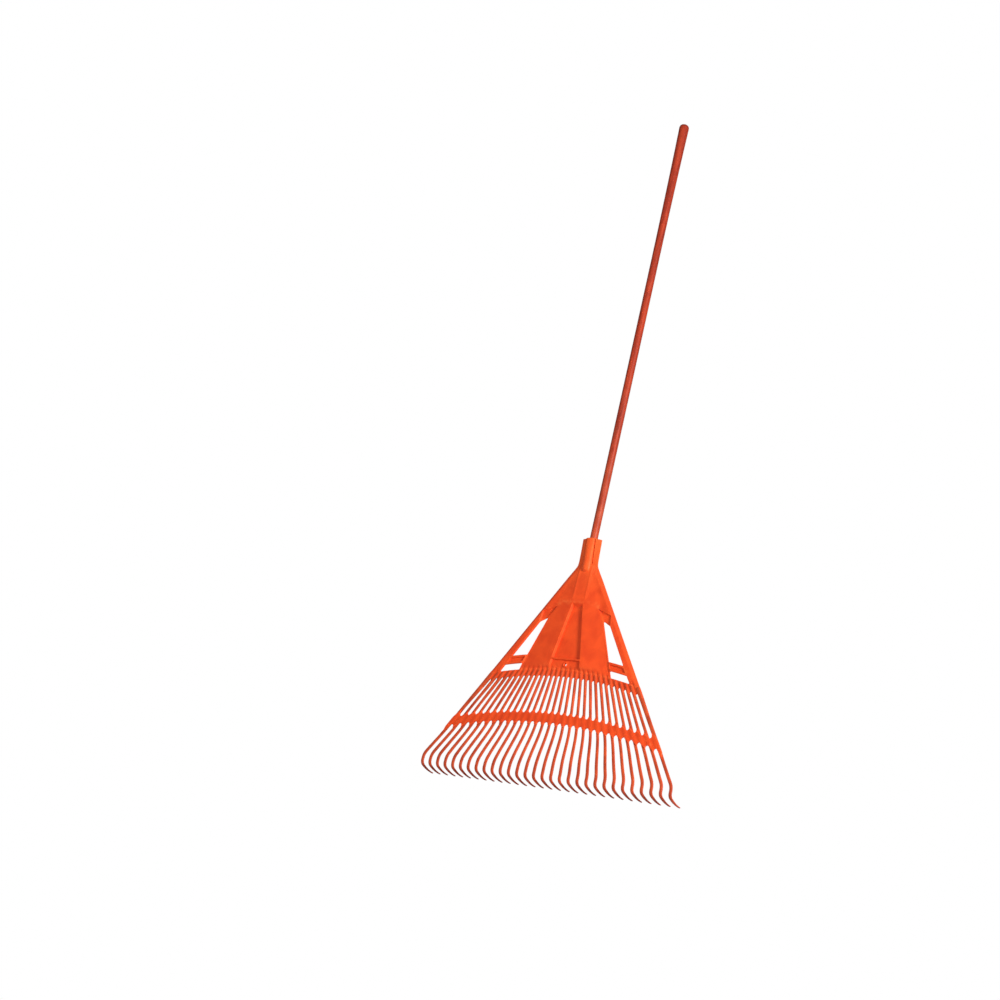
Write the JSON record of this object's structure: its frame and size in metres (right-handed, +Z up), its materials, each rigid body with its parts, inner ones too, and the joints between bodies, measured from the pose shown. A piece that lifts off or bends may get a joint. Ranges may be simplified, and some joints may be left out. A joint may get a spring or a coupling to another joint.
{
  "type": "leaf rake",
  "caption": "Wide fan-head leaf rake: a moulded plastic head of hooked spring tines joined by two arched bands, with a socket on a tapered, round-ended wooden handle.",
  "frame": {"origin": "on the handle's axis, at the middle of its straight shaft", "axes": "+Z up the handle, away from the tines; +Y the way the tine hooks point, which is the back of the head; +X across the head, to the right when the front is seen"},
  "size_m": [0.762, 0.0653, 1.767],
  "materials": {
    "head_plastic": "satin moulded polypropylene, bright orange",
    "handle_paint": "turned hardwood with a worn dark red-orange stain",
    "screw_steel": "bright zinc plating"
  },
  "bodies": {
    "root": {"handle": "handle_paint", "socket_screw": "screw_steel", "socket": "head_plastic", "shoulder_plate": "head_plastic", "centre_plate": "head_plastic", "left_web": "head_plastic", "right_web": "head_plastic", "left_arm": "head_plastic", "right_arm": "head_plastic", "left_cross_bar": "head_plastic", "right_cross_bar": "head_plastic", "upper_band": "head_plastic", "lower_band": "head_plastic", "tine_01": "head_plastic", "tine_02": "head_plastic", "tine_03": "head_plastic", "tine_04": "head_plastic", "tine_05": "head_plastic", "tine_06": "head_plastic", "tine_07": "head_plastic", "tine_08": "head_plastic", "tine_09": "head_plastic", "tine_10": "head_plastic", "tine_11": "head_plastic", "tine_12": "head_plastic", "tine_13": "head_plastic", "tine_14": "head_plastic", "tine_15": "head_plastic", "tine_16": "head_plastic", "tine_17": "head_plastic", "tine_18": "head_plastic", "tine_19": "head_plastic", "tine_20": "head_plastic", "tine_21": "head_plastic", "tine_22": "head_plastic", "tine_23": "head_plastic", "tine_24": "head_plastic", "tine_25": "head_plastic", "tine_26": "head_plastic", "tine_27": "head_plastic", "tine_28": "head_plastic", "tine_29": "head_plastic", "tine_30": "head_plastic"}
  },
  "joints": []
}
